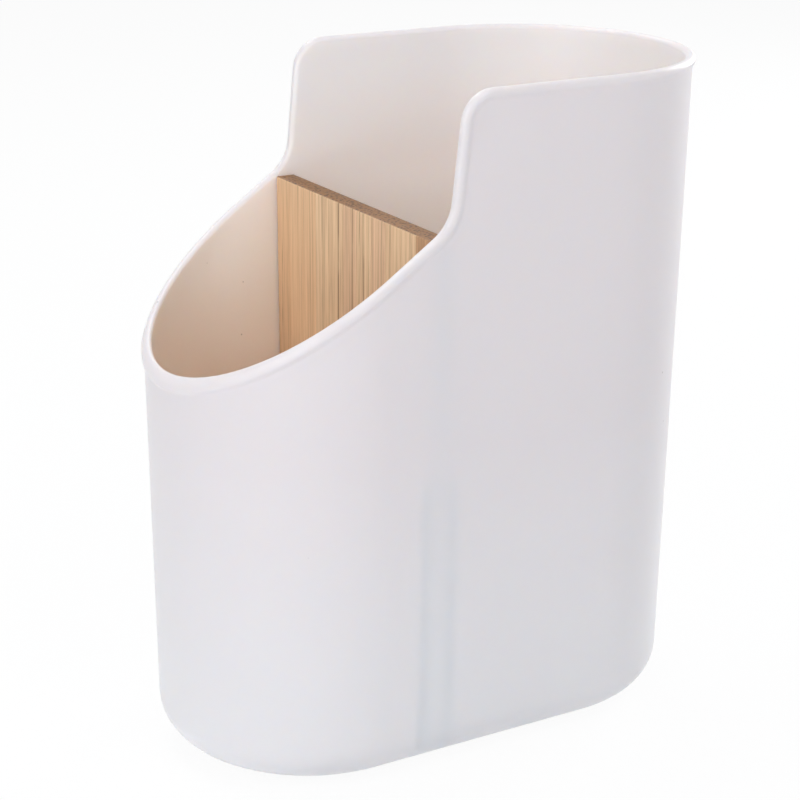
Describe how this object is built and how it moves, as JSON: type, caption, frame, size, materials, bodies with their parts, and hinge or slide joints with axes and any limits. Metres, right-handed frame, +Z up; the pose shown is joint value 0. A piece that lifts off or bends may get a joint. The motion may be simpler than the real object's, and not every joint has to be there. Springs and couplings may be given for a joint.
{
  "type": "cutlery drainer",
  "caption": "Free-standing oval cutlery drainer with a low front mouth, a tall rear and a lift-out bamboo divider.",
  "frame": {"origin": "on the resting surface under the middle of the oval plan, which is the bottom centre of the bounding box to about half a millimetre", "axes": "+Z up, +Y towards the tall rear, -Y towards the low front mouth, X across the width"},
  "size_m": [0.0912, 0.1589, 0.1878],
  "materials": {
    "cup_plastic": "glossy white injection moulding",
    "bamboo": "natural bamboo strips, upright grain, clear matt sealer",
    "foot_rubber": "matt translucent white elastomer"
  },
  "bodies": {
    "cup": {"cup": "cup_plastic", "foot_front_left": "foot_rubber", "foot_front_right": "foot_rubber", "foot_rear_left": "foot_rubber", "foot_rear_right": "foot_rubber"},
    "divider": {"divider_strip_01": "bamboo", "divider_strip_02": "bamboo", "divider_strip_03": "bamboo", "divider_strip_04": "bamboo", "divider_strip_05": "bamboo", "divider_strip_06": "bamboo", "divider_strip_07": "bamboo", "divider_strip_08": "bamboo", "divider_strip_09": "bamboo", "divider_strip_10": "bamboo", "divider_strip_11": "bamboo"}
  },
  "joints": [
    {"name": "divider_lift", "type": "slide", "parent": "cup", "child": "divider", "axis": [0, 0, 1], "range_m": [0, 0.1878]}
  ]
}
